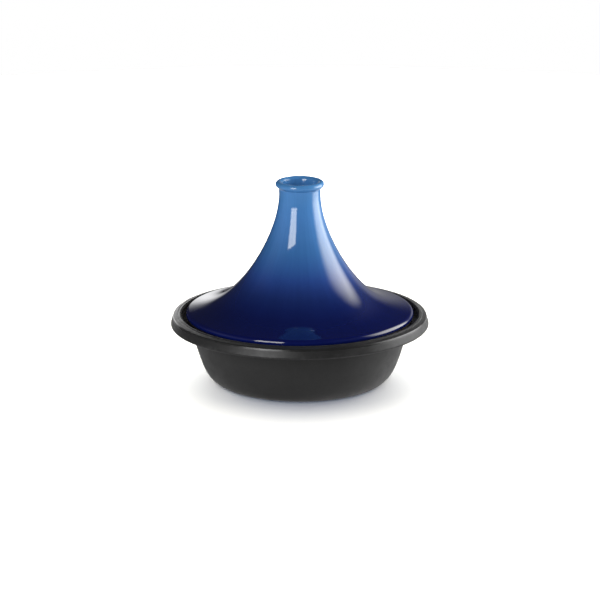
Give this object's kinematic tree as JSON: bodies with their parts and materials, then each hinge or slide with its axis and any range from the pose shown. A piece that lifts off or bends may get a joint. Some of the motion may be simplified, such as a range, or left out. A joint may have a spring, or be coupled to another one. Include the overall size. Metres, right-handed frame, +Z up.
{
  "type": "tagine pot",
  "caption": "Round enamelled cast-iron cooking pan with a flanged rim, under a tall flared conical stoneware lid that lifts off by its cupped knob.",
  "frame": {"origin": "on the axis, on the plane of the pan's foot ring, which stands on the table", "axes": "+Z up along the axis of revolution; every piece is round, so +X and +Y are any two horizontal directions at right angles"},
  "size_m": [0.3008, 0.3008, 0.2377],
  "materials": {
    "cast_iron": "ground bare on the foot ring, rough cast elsewhere",
    "black_enamel": "satin black vitreous enamel",
    "black_enamel_inside": "satin black vitreous enamel",
    "stoneware": "bare fired clay on the foot ring",
    "blue_glaze": "gloss glaze, light blue at the knob to navy at the brim",
    "inside_glaze": "gloss cream glaze"
  },
  "bodies": {
    "pot": {"pot_casting": "cast_iron", "pot_outside_enamel": "black_enamel", "pot_inside_enamel": "black_enamel_inside"},
    "lid": {"lid_stoneware": "stoneware", "lid_outside_glaze": "blue_glaze", "lid_inside_glaze": "inside_glaze"}
  },
  "joints": [
    {"name": "lid_lift", "type": "slide", "parent": "pot", "child": "lid", "axis": [0, 0, 1], "range_m": [0, 0.25]}
  ]
}
